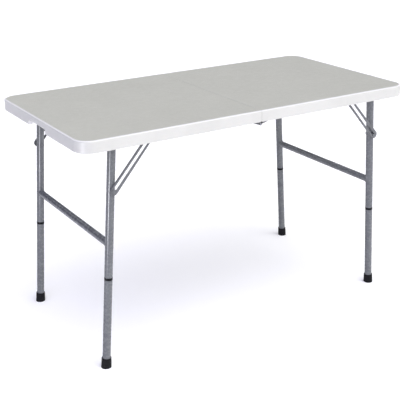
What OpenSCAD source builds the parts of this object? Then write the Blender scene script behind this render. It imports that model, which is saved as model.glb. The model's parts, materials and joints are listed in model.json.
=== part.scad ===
// Folding picnic table: two moulded top halves on a centre hinge, two folding leg frames with
// slotted side braces, and four plug-in lower legs. The origin is on the floor, under the middle
// of the top. X runs along the table, Y from front to back, Z up.

/* [Table top] */
// Length of the open table, end to end
table_l = 1220; // [1200:5:1260]
// Width of the table, front to back
table_w = 610; // [606:1:640]
// Height of the top face above the floor
table_h = 740; // [730:5:760]
// Depth of the rim, from the top face to its bottom edge
rim_d = 36; // [36:1:38]
// Width of the rim where it stands on its bottom edge
rim_w = 14; // [12:1:14]
// Thickness of the panel inside the rim
panel_t = 9; // [8:1:9]
// Plan radius of the four corners
corner_r = 50; // [40:5:60]
// Radius of the rounded edge round the top face
edge_r = 4; // [3:1:6]
// Width of the hand notch in each end
notch_w = 130; // [100:5:150]
// Height of the hand notch above the bottom edge of the rim
notch_h = 17; // [12:1:18]

/* [Legs] */
// Outer diameter of the leg tubes
tube_d = 25; // [24:0.5:25]
// Outer diameter of the crossbars
crossbar_d = 22; // [18:1:22]
// Distance of each leg's middle from the middle of the table, front and back
leg_y = 257; // [252:1:257]
// Distance of each frame's pivot from the centre seam
pivot_x = 490; // [480:1:500]
// Outward lean of the legs
splay = 3.8; // [3:0.1:4.5]
// Height of the crossbar's middle above the floor
crossbar_z = 402; // [380:1:430]
// Height of the joint between upper and lower leg above the floor
joint_z = 290; // [270:1:310]
// Length of the plug that each lower leg pushes into the upper leg
plug_l = 80; // [60:5:90]
// Height of the rubber foot
foot_h = 31; // [26:1:36]
// Diameter of the rubber foot at the floor
foot_d = 32; // [30:1:34]

/* [Braces] */
// Height above the floor of the pin that holds the brace to the leg
brace_pin_z = 572; // [560:1:590]
// Slope of the open brace above level
brace_slope = 49; // [46:0.5:52]
// Width of the brace at the leg
brace_w = 26; // [24:1:27]
// Width of the long slot in the brace
brace_slot_w = 9.5; // [8:0.5:10]

/* [Hidden] */
$fn = 64;

LEFT = -1;
RIGHT = 1;
FRONT = -1;
BACK = 1;
SIDES = [LEFT, RIGHT];
DEPTHS = [FRONT, BACK];

slip = 0.08;          // radial clearance of a part that turns or slides in its hole
snug = 0.03;          // radial clearance of a part that stays in its hole
past = 1;             // how far a cutting solid runs past the face it cuts
running_gap = 0.3;    // end play of a part that turns or slides beside another
head_gap = 0.1;       // between the head or shoulder of a pin and the face it sits on
lap = 0.5;            // how far two blended pieces run into each other

// Top
rim_z = table_h - rim_d;
panel_z = table_h - panel_t;
seam_gap = 0.5;       // from the middle to the inner edge of each half
seam_chamfer = 5;
groove_in = 2;        // from the rounded edge to the groove round the top face
groove_w = 2;
groove_d = 0.8;
foot_r = 3;           // rounding of the rim's bottom edge
tack_r = 13;          // round hollows that tie the lower skin to the upper one
tack_d = 3;
tack_step = 74;

// Screws
screw_r = 2;
screw_head_r = 4;
screw_head_h = 2.4;
screw_taper = 0.8;    // how much smaller the head is at its outer face
screw_room = 0.2;     // radial clearance in a plate's hole
head_room = 0.4;      // radial clearance round a sunk head
tip_room = 0.5;       // from the screw's tip to the end of its hole
recess = [4.4, 1, 1.2]; // length, width and depth of each arm of the cross

// Centre hinges
hinge_z = rim_z - 7;
knuckle_r = 4.5;
hinge_pin_r = 2;
knuckle_gap = 0.3;
leaf_t = 2;
leaf_x = [seam_gap + 0.2, 25];
leaf_y = [table_w / 2 - 34, table_w / 2 - 5];
knuckle_l = (leaf_y[1] - leaf_y[0]) / 3;
leaf_screws = [[19, table_w / 2 - 13], [8, table_w / 2 - 27]];
leaf_screw_l = 14;
web_x = [1, leaf_x[1] - 3];
web_edge = 1;         // depth of the web where it runs out under the leaf
rib_x = [knuckle_r + 1.2, web_x[1] - lap];
rib_z = 0.2;          // the rib's inner corner above the barrel's middle
wedge_end_z = rim_z - leaf_t - hinge_z - web_edge;
hinge_head_t = 1.8;

// Leg frames
tube_r = tube_d / 2;
tube_wall = 1.5;
pivot_z = panel_z - 14;
pivot_r = 6;
stub = 4;             // the tube above the pivot
collar_h = 8;
collar_r = tube_r + 0.4;
bracket_y = leg_y - tube_r - 0.5;
bracket_w = 30;
bracket_r = 11;
flange_x = 32;
flange_t = 4;
bracket_screw_x = 25;
bracket_screw_l = 10;
cap_r = 9;
cap_t = 2;            // the cap beyond the end of the rod
rod_end = leg_y + tube_r + 3;
shoulder_t = 2.7;     // the closed step of the lower leg, under its plug
foot_wall_below = 5;

// Braces and their rails
brace_in = leg_y + tube_r + 3.5;
brace_t = 5;
brace_skin = 2;
brace_out = brace_in + brace_t;
brace_flange_t = 2.5; // the flat flange round the raised middle
brace_mid_r = 10;     // half the width of the raised middle
brace_ends = [        // half the width of the flange at the pin and at the roller, and its offset
    [brace_w / 2, brace_mid_r + 0.5 - brace_w / 2],
    [brace_mid_r + 1.4, -0.9],
];
brace_tuck = 0.05;    // the flange's straight sides, inside the tangents to its round ends
slot_r = brace_slot_w / 2;
pin_r = slot_r - slip;
pin_head_r = 6.5;
pin_head_t = 1.6;
pin_shoulder_r = 7;
rail_t = 2;
roller_r = 12.5;
roller_w = 7;
roller_in = brace_out + 0.5;
roller_z = panel_z - rail_t - running_gap - roller_r;
brace_l = (roller_z - brace_pin_z) / sin(brace_slope);
pin_x = leg_x(brace_pin_z);
roller_x = pin_x - brace_l * cos(brace_slope);
rail_x = [roller_x - 255, roller_x + 28];
rail_y = [brace_in, table_w / 2 - rim_w - 0.7];
rail_lip_d = 15;
rail_lip_t = 1.5;
rail_screw_in = 8;
rail_screw_l = 8;
rail_screw_y = rail_y[0] + 5;

// Finishes
top_white = [0.79, 0.79, 0.76];
leg_grey = [0.50, 0.50, 0.53];
steel = [0.45, 0.45, 0.46];
zinc = [0.66, 0.67, 0.69];
black = [0.10, 0.10, 0.11];
nylon = [0.20, 0.20, 0.21];

// ---- Places --------------------------------------------------------------------------------

// Distance of a leg's middle line from the seam at height z
function leg_x(z) = pivot_x + (pivot_z - z) * tan(splay);

// Distance down the leg from its pivot to height z
function down_leg(z) = (pivot_z - z) / cos(splay);

// Stands its children on a leg, with the leg's pivot at the origin and the leg along -Z
module on_leg(side, depth) {
    translate([side * pivot_x, depth * leg_y, pivot_z])
        rotate([0, -side * splay, 0])
            children();
}

// Draws its children on the right half, or mirrored on the left one
module on_side(side) {
    mirror([side == LEFT ? 1 : 0, 0, 0])
        children();
}

// A cylinder along Y between two distances from the middle plane, front or back
module bar_y(r, from, to, depth) {
    translate([0, depth * from, 0])
        rotate([-depth * 90, 0, 0])
            cylinder(r = r, h = to - from);
}

// The places of the screws under the right half, as [x, y, z of the head's seat, length]
function bracket_screws() = [
    for (depth = DEPTHS, end = SIDES)
        [pivot_x + end * bracket_screw_x, depth * (bracket_y - bracket_w / 2),
            panel_z - flange_t, bracket_screw_l]
];
function rail_screws() = [
    for (depth = DEPTHS, x = [rail_x[0] + rail_screw_in, rail_x[1] - rail_screw_in])
        [x, depth * rail_screw_y, panel_z - rail_t, rail_screw_l]
];
function hinge_screws() = [
    for (depth = DEPTHS, at = leaf_screws)
        [at[0], depth * at[1], rim_z - leaf_t, leaf_screw_l]
];

// ---- Top -----------------------------------------------------------------------------------

// Section through the edge of the top: x is the distance from the corner's middle
module edge_section() {
    difference() {
        union() {
            translate([0, panel_z])
                square([corner_r - edge_r, panel_t]);
            translate([corner_r - edge_r, table_h - edge_r])
                circle(r = edge_r);
            translate([corner_r - rim_w, rim_z + foot_r])
                square([rim_w, rim_d - foot_r - edge_r]);
            for (x = [corner_r - foot_r, corner_r - rim_w + foot_r])
                translate([x, rim_z + foot_r])
                    circle(r = foot_r);
            translate([corner_r - rim_w + foot_r, rim_z])
                square([rim_w - 2 * foot_r, 2 * foot_r]);
        }
        translate([corner_r - edge_r - groove_in - groove_w, table_h - groove_d])
            square([groove_w, groove_d + past]);
    }
}

// Straight stretch of the edge, from the origin along Y, its outer face towards +X
module edge_run(length) {
    rotate([90, 0, 180])
        mirror([1, 0, 0])
            linear_extrude(length)
                edge_section();
}

// The solid of the right half, before anything is cut in it
module half_blank() {
    long = table_l / 2 - corner_r;
    wide = table_w - 2 * corner_r;
    translate([0, -wide / 2, panel_z])
        cube([long, wide, panel_t]);
    translate([0, -wide / 2, rim_z])
        cube([rim_w, wide, rim_d]);
    translate([long, -wide / 2, 0])
        edge_run(wide);
    for (depth = DEPTHS)
        translate([0, depth * wide / 2, 0]) {
            translate([depth == FRONT ? 0 : long, 0, 0])
                rotate([0, 0, depth * 90])
                    edge_run(long);
            translate([0, depth == FRONT ? -corner_r + rim_w : 0, rim_z])
                cube([rim_w, corner_r - rim_w, rim_d - panel_t + past]);
        }
    translate([long, wide / 2, 0])
        rotate_extrude(angle = 90)
            edge_section();
    translate([long, -wide / 2, 0])
        rotate([0, 0, -90])
            rotate_extrude(angle = 90)
                edge_section();
}

// Arched hand notch through the end of the rim
module hand_notch() {
    round_r = 10;
    translate([table_l / 2 - rim_w - past, 0, rim_z])
        rotate([90, 0, 90])
            linear_extrude(rim_w + 2 * past) {
                translate([-notch_w / 2, -past])
                    square([notch_w, notch_h - round_r + past]);
                translate([-notch_w / 2 + round_r, -past])
                    square([notch_w - 2 * round_r, notch_h + past]);
                for (end = SIDES)
                    translate([end * (notch_w / 2 - round_r), notch_h - round_r])
                        circle(r = round_r);
            }
}

// Bevel along the bottom of the seam, which leaves room for the hinge barrels
module seam_bevel() {
    translate([seam_gap, table_w / 2 + past, rim_z])
        rotate([90, 0, 0])
            linear_extrude(table_w + 2 * past)
                polygon([[-past, -past], [seam_chamfer, -past], [-past, seam_chamfer]]);
}

// Round hollows over the underside, clear of the brackets, the rails and the rims
module tack_hollows() {
    columns = floor((pivot_x - flange_x - 2 * tack_step / 3 - rim_w) / tack_step);
    rows = floor((bracket_y - bracket_w - tack_r) / tack_step);
    for (column = [0:columns], row = [-rows:rows])
        translate([rim_w + tack_step / 2 + column * tack_step, row * tack_step, panel_z - past])
            cylinder(r = tack_r, h = tack_d + past);
}

module top_half(side) {
    color(top_white)
        on_side(side)
            difference() {
                half_blank();
                translate([-past, -table_w / 2 - past, rim_z - past])
                    cube([seam_gap + past, table_w + 2 * past, rim_d + 2 * past]);
                hand_notch();
                seam_bevel();
                tack_hollows();
                for (screw = concat(bracket_screws(), rail_screws(), hinge_screws()))
                    translate([screw[0], screw[1], screw[2]])
                        cylinder(r = screw_r + snug, h = screw[3] + tip_room);
            }
}

// ---- Fasteners -----------------------------------------------------------------------------

// Pan-head screw driven upwards, the head's seat at the origin
module screw(length) {
    cylinder(r = screw_r, h = length);
    difference() {
        translate([0, 0, -screw_head_h])
            cylinder(r1 = screw_head_r - screw_taper, r2 = screw_head_r, h = screw_head_h);
        translate([0, 0, -screw_head_h - past])
            for (turn = [0, 90])
                rotate([0, 0, turn])
                    translate([-recess[0] / 2, -recess[1] / 2, 0])
                        cube([recess[0], recess[1], recess[2] + past]);
    }
}

module screw_set(side, places) {
    color(zinc)
        on_side(side)
            for (place = places)
                translate([place[0], place[1], place[2]])
                    screw(place[3]);
}

// ---- Centre hinges -------------------------------------------------------------------------

// Which thirds of the barrel belong to a leaf: the left one has both ends
function knuckles(side) = side == LEFT ? [0, 2] : [1];

// Wedge under a leaf, from the barrel's middle along Y: its lower face runs between two points
module leaf_wedge(length, inner, outer) {
    inside_leaf = rim_z - leaf_t - hinge_z + lap;
    translate([0, length, 0])
        rotate([90, 0, 0])
            linear_extrude(length)
                polygon([[inner[0], inside_leaf], [outer[0], inside_leaf], outer, inner]);
}

// One knuckle of the barrel with its web, centred in its third
module knuckle(third) {
    length = knuckle_l - knuckle_gap;
    translate([0, third * knuckle_l + knuckle_gap / 2, 0]) {
        rotate([-90, 0, 0])
            cylinder(r = knuckle_r, h = length);
        leaf_wedge(length, [web_x[0], lap - knuckle_r], [web_x[1], wedge_end_z]);
    }
}

module hinge_leaf(side, depth) {
    low_y = depth == FRONT ? -leaf_y[1] : leaf_y[0];
    leaf_z = rim_z - leaf_t;
    color(steel)
        on_side(side)
            difference() {
                union() {
                    translate([leaf_x[0], low_y, leaf_z])
                        cube([leaf_x[1] - leaf_x[0], leaf_y[1] - leaf_y[0], leaf_t]);
                    translate([0, low_y, hinge_z]) {
                        for (third = knuckles(side))
                            knuckle(third);
                        translate([0, lap, 0])
                            leaf_wedge(3 * knuckle_l - 2 * lap, [rib_x[0], rib_z], [rib_x[1], wedge_end_z]);
                    }
                }
                translate([0, low_y - past, hinge_z])
                    rotate([-90, 0, 0])
                        cylinder(r = hinge_pin_r + slip, h = leaf_y[1] - leaf_y[0] + 2 * past);
                for (at = leaf_screws)
                    translate([at[0], depth * at[1], leaf_z - past])
                        cylinder(r = screw_r + screw_room, h = leaf_t + 2 * past);
                for (at = leaf_screws)
                    translate([at[0], depth * at[1], hinge_z - knuckle_r - past])
                        cylinder(r = screw_head_r + head_room, h = leaf_z - hinge_z + knuckle_r + past);
            }
}

module hinge_pin(depth) {
    color(zinc)
        translate([0, 0, hinge_z]) {
            bar_y(hinge_pin_r, leaf_y[0] - head_gap - lap, leaf_y[1], depth);
            bar_y(knuckle_r - 1, leaf_y[0] - head_gap - hinge_head_t, leaf_y[0] - head_gap, depth);
        }
}

// ---- Leg frames ----------------------------------------------------------------------------

module pivot_bracket(side, depth) {
    color(nylon)
        on_side(side)
            translate([pivot_x, depth * bracket_y, 0])
                rotate([90, 0, 0])
                    translate([0, 0, depth == FRONT ? -bracket_w : 0])
                        difference() {
                            linear_extrude(bracket_w)
                                difference() {
                                    union() {
                                        translate([0, pivot_z])
                                            circle(r = bracket_r);
                                        translate([-bracket_r, pivot_z])
                                            square([2 * bracket_r, panel_z - pivot_z]);
                                        translate([-flange_x, panel_z - flange_t])
                                            square([2 * flange_x, flange_t]);
                                    }
                                    translate([0, pivot_z])
                                        circle(r = pivot_r + slip);
                                }
                            for (end = SIDES)
                                translate([end * bracket_screw_x, panel_z + past, bracket_w / 2])
                                    rotate([90, 0, 0])
                                        cylinder(r = screw_r + screw_room, h = flange_t + 2 * past);
                        }
}

module pivot_rod(side) {
    color(zinc)
        translate([side * pivot_x, -rod_end, pivot_z])
            rotate([-90, 0, 0])
                cylinder(r = pivot_r, h = 2 * rod_end);
}

// Push-on caps over both ends of the rod
module rod_caps(side) {
    color(black)
        for (depth = DEPTHS)
            translate([side * pivot_x, 0, pivot_z])
                difference() {
                    bar_y(cap_r, leg_y + tube_r + running_gap, rod_end + cap_t, depth);
                    bar_y(pivot_r + snug, leg_y + tube_r - past, rod_end, depth);
                }
}

module upper_leg(side, depth) {
    length = down_leg(joint_z + collar_h);
    color(leg_grey)
        on_leg(side, depth)
            difference() {
                translate([0, 0, -length])
                    cylinder(r = tube_r, h = length + stub);
                translate([0, 0, -length - past])
                    cylinder(r = tube_r - tube_wall, h = length + stub + past - tube_wall);
                rotate([90, 0, 0])
                    cylinder(r = pivot_r + snug, h = 2 * tube_d, center = true);
                translate([0, 0, -down_leg(brace_pin_z)])
                    rotate([90, 0, 0])
                        cylinder(r = pin_r + snug, h = 2 * tube_d, center = true);
            }
}

module crossbar(side) {
    color(leg_grey)
        difference() {
            translate([side * leg_x(crossbar_z), 0, crossbar_z])
                rotate([90, 0, 0])
                    difference() {
                        cylinder(r = crossbar_d / 2, h = 2 * leg_y, center = true);
                        cylinder(r = crossbar_d / 2 - tube_wall, h = 2 * leg_y + past, center = true);
                    }
            for (depth = DEPTHS)
                on_leg(side, depth)
                    translate([0, 0, -down_leg(joint_z)])
                        cylinder(r = tube_r + snug, h = down_leg(joint_z));
        }
}

// Black ring in the lower end of the upper leg, which the plug runs through
module leg_collar(side, depth) {
    color(black)
        on_leg(side, depth)
            translate([0, 0, -down_leg(joint_z)])
                difference() {
                    cylinder(r = collar_r, h = collar_h);
                    translate([0, 0, -past])
                        cylinder(r = tube_r - tube_wall, h = collar_h + 2 * past);
                }
}

// ---- Lower legs ----------------------------------------------------------------------------

module lower_leg(side, depth) {
    top = down_leg(joint_z);
    bottom = down_leg(foot_wall_below);
    plug_r = tube_r - tube_wall - slip;
    color(leg_grey)
        on_leg(side, depth)
            difference() {
                union() {
                    translate([0, 0, -bottom])
                        cylinder(r = tube_r, h = bottom - top - running_gap);
                    translate([0, 0, -top - past])
                        cylinder(r = plug_r, h = plug_l + past);
                }
                translate([0, 0, -bottom - past])
                    cylinder(r = tube_r - tube_wall, h = bottom - top + past - running_gap - shoulder_t);
                translate([0, 0, -bottom])
                    cylinder(r = plug_r - tube_wall, h = bottom - top + plug_l + past);
            }
}

// Rubber foot: a cup over the end of the leg, cut level where it stands on the floor
module foot(side, depth) {
    color(black)
        difference() {
            on_leg(side, depth)
                difference() {
                    translate([0, 0, -down_leg(-past)])
                        cylinder(r1 = foot_d / 2, r2 = foot_d / 2 - 1, h = foot_h + past);
                    translate([0, 0, -down_leg(foot_wall_below)])
                        cylinder(r = tube_r + snug, h = foot_h);
                }
            translate([side * leg_x(0), depth * leg_y, -foot_d])
                cube(2 * foot_d, center = true);
        }
}

// ---- Braces --------------------------------------------------------------------------------

// Outline with round ends, from the pin at the origin along +X
module brace_outline(r) {
    circle(r = r);
    translate([brace_l, 0])
        circle(r = r);
    translate([0, -r])
        square([brace_l, 2 * r]);
}

// Outline of the flange: wider at the pin, and wider on one side of the slot than on the other
module flange_outline() {
    at = [[0, brace_ends[0][1]], [brace_l, brace_ends[1][1]]];
    r = [brace_ends[0][0], brace_ends[1][0]];
    run = at[1] - at[0];
    along = atan2(run[1], run[0]);
    swing = acos((r[0] - r[1]) / norm(run));
    function touch(end, side) =
        at[end] + (r[end] - brace_tuck) * [cos(along + side * swing), sin(along + side * swing)];
    for (end = [0, 1])
        translate(at[end])
            circle(r = r[end]);
    polygon([touch(0, 1), touch(1, 1), touch(1, -1), touch(0, -1)]);
}

// Stands its children at a brace: the leg's pin at the origin, the brace along +X, outwards along +Z
module on_brace(side, depth) {
    translate([side * pin_x, depth * brace_in, brace_pin_z])
        rotate([0, side == LEFT ? -brace_slope : brace_slope - 180, 0])
            rotate([-depth * 90, 0, 0])
                children();
}

// Pressed steel strip with a raised middle, hollow behind, and a long slot along it
module brace(side, depth) {
    color(steel)
        on_brace(side, depth)
            difference() {
                union() {
                    linear_extrude(brace_flange_t)
                        flange_outline();
                    linear_extrude(brace_t)
                        brace_outline(brace_mid_r);
                }
                translate([0, 0, -past])
                    linear_extrude(brace_t - brace_skin + past)
                        brace_outline(brace_mid_r - brace_skin);
                translate([0, 0, -past])
                    linear_extrude(brace_t + 2 * past)
                        brace_outline(slot_r);
            }
}

// Rivet through the leg, with a shoulder that holds the brace off the tube
module brace_pin(side, depth) {
    color(zinc)
        translate([side * pin_x, 0, brace_pin_z]) {
            bar_y(pin_r, leg_y - tube_r - head_gap - lap, brace_out + running_gap, depth);
            bar_y(pin_head_r, brace_out + running_gap, brace_out + running_gap + pin_head_t, depth);
            bar_y(pin_shoulder_r, leg_y + tube_r + head_gap, brace_in - running_gap, depth);
            bar_y(pin_head_r, leg_y - tube_r - pin_head_t, leg_y - tube_r - head_gap, depth);
        }
}

// Roller at the top of the brace, with the pin that it turns on
module brace_roller(side, depth) {
    color(nylon)
        translate([side * roller_x, 0, roller_z]) {
            bar_y(roller_r, roller_in, roller_in + roller_w, depth);
            bar_y(slot_r - snug, brace_in, roller_in + lap, depth);
            bar_y(pin_head_r, brace_in + 1, brace_out - brace_skin - head_gap, depth);
        }
}

module brace_rail(side, depth) {
    color(steel)
        on_side(side)
            difference() {
                union() {
                    translate([rail_x[0], depth == FRONT ? -rail_y[1] : rail_y[0], panel_z - rail_t])
                        cube([rail_x[1] - rail_x[0], rail_y[1] - rail_y[0], rail_t]);
                    translate([rail_x[0], depth == FRONT ? -rail_y[1] : rail_y[1] - rail_lip_t,
                            panel_z - rail_lip_d])
                        cube([rail_x[1] - rail_x[0], rail_lip_t, rail_lip_d]);
                }
                for (x = [rail_x[0] + rail_screw_in, rail_x[1] - rail_screw_in])
                    translate([x, depth * rail_screw_y, panel_z - rail_t - past])
                        cylinder(r = screw_r + screw_room, h = rail_t + 2 * past);
            }
}

// ---- The table -----------------------------------------------------------------------------

top_half(LEFT);  // top_half_left
top_half(RIGHT);  // top_half_right
hinge_leaf(LEFT, FRONT);  // hinge_leaf_front_left
hinge_leaf(RIGHT, FRONT);  // hinge_leaf_front_right
hinge_leaf(LEFT, BACK);  // hinge_leaf_back_left
hinge_leaf(RIGHT, BACK);  // hinge_leaf_back_right
hinge_pin(FRONT);  // hinge_pin_front
hinge_pin(BACK);  // hinge_pin_back
screw_set(LEFT, hinge_screws());  // hinge_screws_left
screw_set(RIGHT, hinge_screws());  // hinge_screws_right
pivot_bracket(LEFT, FRONT);  // pivot_bracket_left_front
pivot_bracket(LEFT, BACK);  // pivot_bracket_left_back
pivot_bracket(RIGHT, FRONT);  // pivot_bracket_right_front
pivot_bracket(RIGHT, BACK);  // pivot_bracket_right_back
screw_set(LEFT, bracket_screws());  // bracket_screws_left
screw_set(RIGHT, bracket_screws());  // bracket_screws_right
brace_rail(LEFT, FRONT);  // brace_rail_left_front
brace_rail(LEFT, BACK);  // brace_rail_left_back
brace_rail(RIGHT, FRONT);  // brace_rail_right_front
brace_rail(RIGHT, BACK);  // brace_rail_right_back
screw_set(LEFT, rail_screws());  // rail_screws_left
screw_set(RIGHT, rail_screws());  // rail_screws_right
pivot_rod(LEFT);  // pivot_rod_left
pivot_rod(RIGHT);  // pivot_rod_right
rod_caps(LEFT);  // rod_caps_left
rod_caps(RIGHT);  // rod_caps_right
upper_leg(LEFT, FRONT);  // upper_leg_left_front
upper_leg(LEFT, BACK);  // upper_leg_left_back
upper_leg(RIGHT, FRONT);  // upper_leg_right_front
upper_leg(RIGHT, BACK);  // upper_leg_right_back
crossbar(LEFT);  // crossbar_left
crossbar(RIGHT);  // crossbar_right
leg_collar(LEFT, FRONT);  // leg_collar_left_front
leg_collar(LEFT, BACK);  // leg_collar_left_back
leg_collar(RIGHT, FRONT);  // leg_collar_right_front
leg_collar(RIGHT, BACK);  // leg_collar_right_back
brace_pin(LEFT, FRONT);  // brace_pin_left_front
brace_pin(LEFT, BACK);  // brace_pin_left_back
brace_pin(RIGHT, FRONT);  // brace_pin_right_front
brace_pin(RIGHT, BACK);  // brace_pin_right_back
lower_leg(LEFT, FRONT);  // lower_leg_left_front
lower_leg(LEFT, BACK);  // lower_leg_left_back
lower_leg(RIGHT, FRONT);  // lower_leg_right_front
lower_leg(RIGHT, BACK);  // lower_leg_right_back
foot(LEFT, FRONT);  // foot_left_front
foot(LEFT, BACK);  // foot_left_back
foot(RIGHT, FRONT);  // foot_right_front
foot(RIGHT, BACK);  // foot_right_back
brace(LEFT, FRONT);  // brace_left_front
brace(LEFT, BACK);  // brace_left_back
brace(RIGHT, FRONT);  // brace_right_front
brace(RIGHT, BACK);  // brace_right_back
brace_roller(LEFT, FRONT);  // brace_roller_left_front
brace_roller(LEFT, BACK);  // brace_roller_left_back
brace_roller(RIGHT, FRONT);  // brace_roller_right_front
brace_roller(RIGHT, BACK);  // brace_roller_right_back
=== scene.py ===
"""The looks of the folding picnic table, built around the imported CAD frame. Lengths are in metres."""

import json
import math

import bpy
from mathutils import Matrix, Vector


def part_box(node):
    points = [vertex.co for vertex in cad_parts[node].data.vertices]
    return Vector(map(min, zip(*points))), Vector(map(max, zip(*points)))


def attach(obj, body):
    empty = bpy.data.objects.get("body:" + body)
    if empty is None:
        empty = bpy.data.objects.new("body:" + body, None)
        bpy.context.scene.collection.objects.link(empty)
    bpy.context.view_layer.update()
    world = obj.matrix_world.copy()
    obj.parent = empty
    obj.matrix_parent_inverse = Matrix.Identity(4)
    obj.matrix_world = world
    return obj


CORNERS = [(side, depth) for side in ("left", "right") for depth in ("front", "back")]
MM = 0.001

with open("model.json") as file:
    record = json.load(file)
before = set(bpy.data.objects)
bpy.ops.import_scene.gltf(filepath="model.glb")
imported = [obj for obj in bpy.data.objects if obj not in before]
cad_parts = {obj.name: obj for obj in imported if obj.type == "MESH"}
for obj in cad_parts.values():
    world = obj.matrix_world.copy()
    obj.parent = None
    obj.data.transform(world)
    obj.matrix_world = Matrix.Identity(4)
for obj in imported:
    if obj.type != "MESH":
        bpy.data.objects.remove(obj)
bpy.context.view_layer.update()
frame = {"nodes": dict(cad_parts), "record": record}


# ---- Finishes --------------------------------------------------------------------------------


class Nodes:
    """A node tree in the making, with one short call for each kind of node that it uses."""

    def __init__(self, tree):
        self.tree = tree

    def add(self, kind):
        """A new node of a kind."""
        return self.tree.nodes.new(f"ShaderNode{kind}")

    def plug(self, socket, value):
        """Sets a socket to a number or colour, or joins an output to it."""
        if isinstance(value, bpy.types.NodeSocket):
            self.tree.links.new(value, socket)
        else:
            socket.default_value = value

    def math(self, operation, a, b=0.0):
        """One step of arithmetic on a and b, or on a alone."""
        node = self.add("Math")
        node.operation = operation
        self.plug(node.inputs[0], a)
        self.plug(node.inputs[1], b)
        return node.outputs["Value"]

    def between(self, value, low, high, at_low=0.0, at_high=1.0):
        """Carries a value from the range low to high onto the range at_low to at_high, smoothly."""
        node = self.add("MapRange")
        node.interpolation_type = "SMOOTHSTEP"
        self.plug(node.inputs["Value"], value)
        node.inputs["From Min"].default_value = low
        node.inputs["From Max"].default_value = high
        node.inputs["To Min"].default_value = at_low
        node.inputs["To Max"].default_value = at_high
        return node.outputs["Result"]

    def mix(self, share, a, b):
        """Colour a where share is 0, and b where it is 1."""
        node = self.add("Mix")
        node.data_type = "RGBA"
        self.plug(node.inputs["Factor"], share)
        sockets = [socket for socket in node.inputs if socket.type == "RGBA"]
        for socket, colour in zip(sockets, (a, b)):
            self.plug(socket, (*colour, 1) if isinstance(colour, tuple) else colour)
        return [socket for socket in node.outputs if socket.type == "RGBA"][0]

    def choose(self, share, a, b, output):
        """Sends shader a to an output node where share is 0, and b where it is 1."""
        node = self.add("MixShader")
        self.plug(node.inputs["Fac"], share)
        self.plug(node.inputs[1], a)
        self.plug(node.inputs[2], b)
        self.plug(self.tree.nodes[output].inputs["Surface"], node.outputs["Shader"])


class Finish(Nodes):
    """A procedural material in the making."""

    def __init__(self, name, **sockets):
        self.material = bpy.data.materials.new(name)
        self.material.use_nodes = True
        super().__init__(self.material.node_tree)
        self.shader = self.tree.nodes["Principled BSDF"]
        for socket, value in sockets.items():
            self.shader.inputs[socket.replace("_", " ")].default_value = value
        coordinates = self.add("TexCoord")
        self.place = coordinates.outputs["Object"]
        self.facing = coordinates.outputs["Normal"]

    def noise(self, scale, detail=2.0, roughness=0.5, stretch=(1, 1, 1)):
        """Soft noise with lumps of about 1 / scale metres, finer along an axis with more stretch."""
        mapping = self.add("Mapping")
        mapping.inputs["Scale"].default_value = stretch
        self.plug(mapping.inputs["Vector"], self.place)
        node = self.add("TexNoise")
        self.plug(node.inputs["Vector"], mapping.outputs["Vector"])
        node.inputs["Scale"].default_value = scale
        node.inputs["Detail"].default_value = detail
        node.inputs["Roughness"].default_value = roughness
        return node.outputs["Fac"]

    def clouds(self, scale, detail, at_low=0.0, at_high=1.0):
        """Noise with its middle range spread out from at_low to at_high."""
        return self.between(self.noise(scale, detail), 0.3, 0.7, at_low, at_high)

    def cells(self, scale):
        """Distance from the middle of the nearest cell, for pebbles of about 1 / scale metres."""
        node = self.add("TexVoronoi")
        node.feature = "SMOOTH_F1"
        node.inputs["Scale"].default_value = scale
        self.plug(node.inputs["Vector"], self.place)
        return node.outputs["Distance"]

    def axis(self, vector, letter):
        """One part of a vector."""
        node = self.add("SeparateXYZ")
        self.plug(node.inputs["Vector"], vector)
        return node.outputs[letter]

    def bump(self, height, distance, below=None):
        """Raises the surface by height times distance, on top of another bump."""
        node = self.add("Bump")
        node.inputs["Distance"].default_value = distance
        self.plug(node.inputs["Height"], height)
        if below is not None:
            self.plug(node.inputs["Normal"], below)
        return node.outputs["Normal"]

    def finish(self, colour, roughness, normal):
        """Joins the three outputs to the shader and gives the material back."""
        self.plug(self.shader.inputs["Base Color"], colour)
        self.plug(self.shader.inputs["Roughness"], roughness)
        self.plug(self.shader.inputs["Normal"], normal)
        return self.material


def outline_reach(finish, corner):
    """In plan, how far a point lies outside the rectangle between the centres of the corners."""
    _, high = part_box("top_half_right")
    squares = []
    for letter, half in (("X", high.x), ("Y", high.y)):
        distance = finish.math("ABSOLUTE", finish.axis(finish.place, letter))
        past_core = finish.math("MAXIMUM", finish.math("SUBTRACT", distance, half - corner), 0.0)
        squares.append(finish.math("POWER", past_core, 2.0))
    return finish.math("SQRT", finish.math("ADD", *squares))


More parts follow.
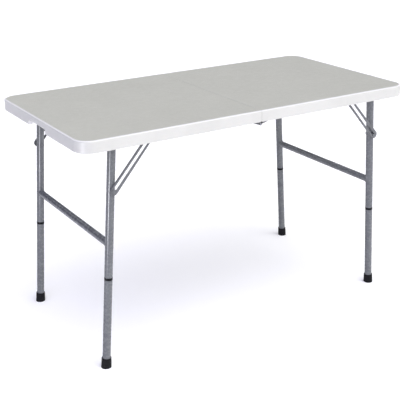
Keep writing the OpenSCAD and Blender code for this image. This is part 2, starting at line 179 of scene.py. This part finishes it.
def top_plastic():
    """Moulded plastic: a grey-white pebbled field inside the groove, and a smoother white rim."""
    corner = 50 * MM
    groove_line = corner - 6 * MM
    groove_soft = 0.4 * MM
    skirt_line = corner - 1 * MM
    skirt_soft = 0.5 * MM
    grey_dark = (0.503, 0.504, 0.447)
    grey_light = (0.521, 0.522, 0.463)
    grey_speck = (0.43, 0.432, 0.385)
    white_dark = (0.565, 0.563, 0.525)
    white_light = (0.595, 0.593, 0.555)
    # Painted highlight: the paler white below stands in for the light line along the rounded top edge.
    white_painted_highlight = (0.76, 0.76, 0.75)
    wave_height = 0.6 * MM
    pebble_height = 0.45 * MM
    rim_pebbles = 0.12

    finish = Finish("top_plastic", IOR=1.5)
    reach = outline_reach(finish, corner)
    inside = finish.between(reach, groove_line - groove_soft, groove_line + groove_soft, 1.0, 0.0)
    upward = finish.between(finish.axis(finish.facing, "Z"), 0.8, 0.95)
    field = finish.math("MULTIPLY", inside, upward)
    # The skirt is the outer wall. The rim's top and the underside are painted paler than it: a painted
    # highlight standing in for the light line along the rounded top edge.
    painted_highlight_off_skirt = finish.between(reach, skirt_line - skirt_soft, skirt_line + skirt_soft, 0.8, 0.0)

    clouds = finish.clouds(9, 4)
    speckle = finish.between(finish.noise(650, 3, 0.7), 0.42, 0.62, 0.0, 0.7)
    grey = finish.mix(speckle, finish.mix(clouds, grey_dark, grey_light), grey_speck)
    white = finish.mix(painted_highlight_off_skirt, finish.mix(clouds, white_dark, white_light), white_painted_highlight)
    colour = finish.mix(field, white, grey)

    roughness = finish.clouds(60, 3, 0.38, 0.5)
    pebbles = finish.between(finish.cells(420), 0.0, 0.8, 1.0, 0.0)
    height = finish.math("MULTIPLY", pebbles, finish.between(field, 0.0, 1.0, rim_pebbles, 1.0))
    normal = finish.bump(finish.noise(25), wave_height)
    normal = finish.bump(height, pebble_height, normal)
    return finish.finish(colour, roughness, normal)


def enamel(name, dark, light):
    """Grey hammered coat on steel: fine dimples, a soft change of tone and a few rubbed spots."""
    flake_grey = (0.28, 0.29, 0.31)
    rubbed_grey = (0.08, 0.08, 0.085)
    dimple_depth = 0.012 * MM

    finish = Finish(name, IOR=1.5, Specular_IOR_Level=0.45)
    flakes = finish.between(finish.noise(1800, 2, 0.6), 0.55, 0.75, 0.0, 0.12)
    rubbed = finish.between(finish.noise(70, 6, 0.75), 0.66, 0.74, 0.0, 0.22)
    colour = finish.mix(finish.clouds(35, 4), dark, light)
    colour = finish.mix(flakes, colour, flake_grey)
    colour = finish.mix(rubbed, colour, rubbed_grey)
    roughness = finish.clouds(120, 3, 0.22, 0.3)
    normal = finish.bump(finish.noise(380, 3), dimple_depth)
    return finish.finish(colour, roughness, normal)


def bare_steel(name, dark, light, roughness):
    """Rolled or plated steel: fine drawn lines, cloudy plating and dull patches."""
    line_depth = 0.08 * MM
    along_lines = 0.06

    finish = Finish(name, Metallic=1.0)
    lines = finish.noise(900, stretch=(along_lines, 1, 1))
    colour = finish.mix(finish.clouds(160, 4), dark, light)
    patches = finish.clouds(300, 3, roughness - 0.07, roughness + 0.1)
    return finish.finish(colour, patches, finish.bump(lines, line_depth))


def black_moulding(name, dark, light, roughness, grain):
    """Black plastic or rubber: a fine moulded grain with dusty, paler patches."""
    grain_depth = 0.15 * MM

    finish = Finish(name, IOR=1.48, Specular_IOR_Level=0.12)
    dust = finish.between(finish.noise(140, 5, 0.6), 0.35, 0.75)
    colour = finish.mix(dust, dark, light)
    patches = finish.clouds(90, 3, roughness - 0.08, roughness + 0.1)
    return finish.finish(colour, patches, finish.bump(finish.noise(grain, 3), grain_depth))


def floor_finish():
    """Plain pale studio floor, which is clear from below so that the underside can be looked at."""
    pale = (0.95, 0.95, 0.95)
    paler = (0.97, 0.97, 0.97)
    glow = (0.98, 0.98, 0.94, 1)
    roughness = 0.7
    unevenness = 0.2 * MM

    finish = Finish("studio_floor", Emission_Color=glow, Emission_Strength=0.12)
    colour = finish.mix(finish.noise(0.6, 3), pale, paler)
    material = finish.finish(colour, roughness, finish.bump(finish.noise(40), unevenness))
    from_below = finish.add("NewGeometry").outputs["Backfacing"]
    clear = finish.add("BsdfTransparent").outputs["BSDF"]
    finish.choose(from_below, finish.shader.outputs["BSDF"], clear, "Material Output")
    return material


BLACK = (0.004, 0.004, 0.005)
BLACK_DUST = (0.012, 0.012, 0.014)
NYLON = (0.012, 0.012, 0.014)
NYLON_DUST = (0.028, 0.028, 0.032)

FINISHES = {
    "top_plastic": top_plastic(),
    "leg_enamel": enamel("leg_enamel", (0.124, 0.130, 0.135), (0.140, 0.147, 0.152)),
    "brace_enamel": enamel("brace_enamel", (0.110, 0.114, 0.118), (0.140, 0.145, 0.150)),
    "stamped_steel": bare_steel("stamped_steel", (0.09, 0.09, 0.093), (0.15, 0.15, 0.155), 0.4),
    "zinc_plate": bare_steel("zinc_plate", (0.42, 0.43, 0.46), (0.58, 0.59, 0.62), 0.32),
    "nylon": black_moulding("nylon", NYLON, NYLON_DUST, 0.45, 500),
    "black_plastic": black_moulding("black_plastic", BLACK, BLACK_DUST, 0.4, 700),
    "foot_rubber": black_moulding("foot_rubber", BLACK, BLACK_DUST, 0.55, 900),
}

ROUNDED = {
    "brace_enamel": 0.7 * MM,
    "stamped_steel": 0.4 * MM,
    "nylon": 0.5 * MM,
    "foot_rubber": 1.2 * MM,
}


def paint(piece, slot):
    """Gives a piece the finish of one of the record's material slots."""
    piece.data.materials.clear()
    piece.data.materials.append(FINISHES[slot])


def soften_edges(piece, width):
    """Rounds a piece where its faces meet sharply, as pressing or moulding leaves it."""
    sharp = math.radians(40)
    bevel = piece.modifiers.new("rounded_edges", "BEVEL")
    bevel.width = width
    bevel.segments = 2
    bevel.limit_method = "ANGLE"
    bevel.angle_limit = sharp


for part in frame["record"]["subparts"]:
    node = frame["nodes"][part["node"]]
    slot = part["material_slot"]
    paint(node, slot)
    if slot in ROUNDED:
        soften_edges(node, ROUNDED[slot])


# ---- Pieces that the CAD leaves out ----------------------------------------------------------


def mesh_piece(name, points, faces, slot, body):
    """A piece from its own points and faces, smooth, painted, and riding on a body."""
    mesh = bpy.data.meshes.new(name)
    mesh.from_pydata(points, [], faces)
    mesh.shade_smooth()
    piece = bpy.data.objects.new(name, mesh)
    bpy.context.scene.collection.objects.link(piece)
    paint(piece, slot)
    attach(piece, body)


def ring_faces(rings, sides):
    """Quads between rings of points, each joined to the next and the last one to the first."""
    faces = []
    for ring in range(rings):
        for side in range(sides):
            here = ring * sides
            there = (ring + 1) % rings * sides
            next_side = (side + 1) % sides
            faces.append((here + side, here + next_side, there + next_side, there + side))
    return faces


def leg_lean():
    """How far the right legs lean outwards, from the way their lower halves slide off."""
    joints = {joint["name"]: joint for joint in frame["record"]["behaviour"]["joints"]}
    x, _, z = joints["lower_leg_pull_right_front"]["axis"]
    return math.atan2(x, -z)


def weld_bead(side, depth):
    """Rippled weld round the end of a crossbar, where it meets the tube of the leg."""
    rings = 96
    sides = 8
    ripples = 24
    bead = 1.7 * MM
    ripple = 0.3 * MM
    small_turn = 0.01
    bar_low, bar_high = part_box(f"crossbar_{side}")
    leg_low, leg_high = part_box(f"upper_leg_{side}_{depth}")
    bar = (bar_low + bar_high) / 2
    bar_r = (bar_high.z - bar_low.z) / 2
    leg_y = (leg_low.y + leg_high.y) / 2
    leg_r = (leg_high.y - leg_low.y) / 2
    inwards = 1 if depth == "front" else -1
    lean = leg_lean() * (1 if side == "right" else -1)

    def seam(turn):
        """The point of the seam at a turn round the bar."""
        across = bar_r * math.cos(turn + lean)
        y = leg_y + inwards * math.sqrt(leg_r ** 2 - across ** 2)
        return Vector((bar.x + bar_r * math.cos(turn), y, bar.z + bar_r * math.sin(turn)))

    points = []
    for ring in range(rings):
        turn = 2 * math.pi * ring / rings
        middle = seam(turn)
        along = (seam(turn + small_turn) - seam(turn - small_turn)).normalized()
        out = Vector((math.cos(turn), 0, math.sin(turn)))
        over = along.cross(out).normalized()
        radius = bead + ripple * math.cos(ripples * turn)
        for step in range(sides):
            angle = 2 * math.pi * step / sides
            points.append(middle + radius * (math.cos(angle) * out + math.sin(angle) * over))
    faces = ring_faces(rings, sides)
    mesh_piece(f"weld_{side}_{depth}", points, faces, "leg_enamel", f"leg_frame_{side}")


for side, depth in CORNERS:
    weld_bead(side, depth)


# ---- Stage -----------------------------------------------------------------------------------


def floor():
    """A plain floor that reaches 30 m out from the table on every side."""
    width = 60
    bpy.ops.mesh.primitive_plane_add(size=width)
    plane = bpy.context.object
    plane.name = "studio_floor"
    plane.data.materials.append(floor_finish())


def gloss_strip(name, place, target, width, height, power):
    """A narrow studio light that shows only as a highlight on glossy surfaces, facing target."""
    cool_white = (0.95, 0.95, 1.0)
    data = bpy.data.lights.new(name, "AREA")
    data.shape = "RECTANGLE"
    data.size = width
    data.size_y = height
    data.energy = power
    data.color = cool_white
    light = bpy.data.objects.new(name, data)
    light.location = place
    light.rotation_euler = (Vector(target) - Vector(place)).to_track_quat("-Z", "Y").to_euler()
    light.visible_diffuse = False
    light.visible_camera = False
    bpy.context.scene.collection.objects.link(light)


def dome():
    """A studio dome, bright overhead and in front of the table, and dim and bluish off its left end.

    The camera itself sees a plain white backdrop.
    """
    front_above = (0, -0.67, 0.74)
    overhead = (0, 0, 1)
    left_end = (-1, 0, 0)
    white = (1.0, 1.0, 1.0)
    bluish = (0.4, 0.38, 1.1)

    world = bpy.data.worlds.new("studio")
    world.use_nodes = True
    sky = Nodes(world.node_tree)
    direction = sky.add("TexCoord").outputs["Generated"]

    def lobe(towards, edge, at_edge, at_middle):
        """A number that is at_middle along towards, down to at_edge where the cosine is edge."""
        cosine = sky.add("VectorMath")
        cosine.operation = "DOT_PRODUCT"
        sky.plug(cosine.inputs[0], direction)
        sky.plug(cosine.inputs[1], Vector(towards).normalized())
        return sky.between(cosine.outputs["Value"], edge, 1.0, at_edge, at_middle)

    background = sky.tree.nodes["Background"]
    front_strength = lobe(front_above, edge=0.3, at_edge=0.05, at_middle=2.3)
    overhead_strength = lobe(overhead, edge=0.6, at_edge=0.0, at_middle=1.0)
    strength = sky.math("ADD", front_strength, overhead_strength)
    blueness = lobe(left_end, edge=0.1, at_edge=0.0, at_middle=1.0)
    sky.plug(background.inputs["Strength"], strength)
    sky.plug(background.inputs["Color"], sky.mix(blueness, white, bluish))
    backdrop = sky.add("Background")
    sky.plug(backdrop.inputs["Color"], (*white, 1))
    to_camera = sky.add("LightPath").outputs["Is Camera Ray"]
    shaders = (background.outputs["Background"], backdrop.outputs["Background"])
    sky.choose(to_camera, *shaders, "World Output")
    bpy.context.scene.world = world


def lights():
    """The dome, a highlight down the front left leg and one along the rim of the left end."""
    front_left_leg = (-0.53, -0.26, 0.16)
    left_rim = (-0.6, 0, 0.74)
    dome()
    gloss_strip("leg_strip", (-1.75, -0.78, 0.16), front_left_leg, width=0.1, height=0.28, power=14)
    gloss_strip("rim_strip", (-0.9, 2.0, 2.2), left_rim, width=0.5, height=0.8, power=8)


def camera():
    """The camera, in front of the left end, turned right and tilted down by angles in radians."""
    place = (-1.5347, -2.3530, 1.4390)
    turn = 0.5542
    tilt = 0.3352
    roll = -0.0082
    data = bpy.data.cameras.new("camera")
    data.sensor_width = 36
    data.lens = 77.85
    data.shift_x = 0.03
    data.shift_y = -0.075
    eye = bpy.data.objects.new("camera", data)
    aim = (
        Matrix.Rotation(-turn, 4, "Z")
        @ Matrix.Rotation(math.pi / 2 - tilt, 4, "X")
        @ Matrix.Rotation(roll, 4, "Z")
    )
    eye.matrix_world = Matrix.Translation(place) @ aim
    bpy.context.scene.collection.objects.link(eye)
    bpy.context.scene.camera = eye


floor()
lights()
camera()
bpy.context.scene.view_settings.view_transform = "Standard"
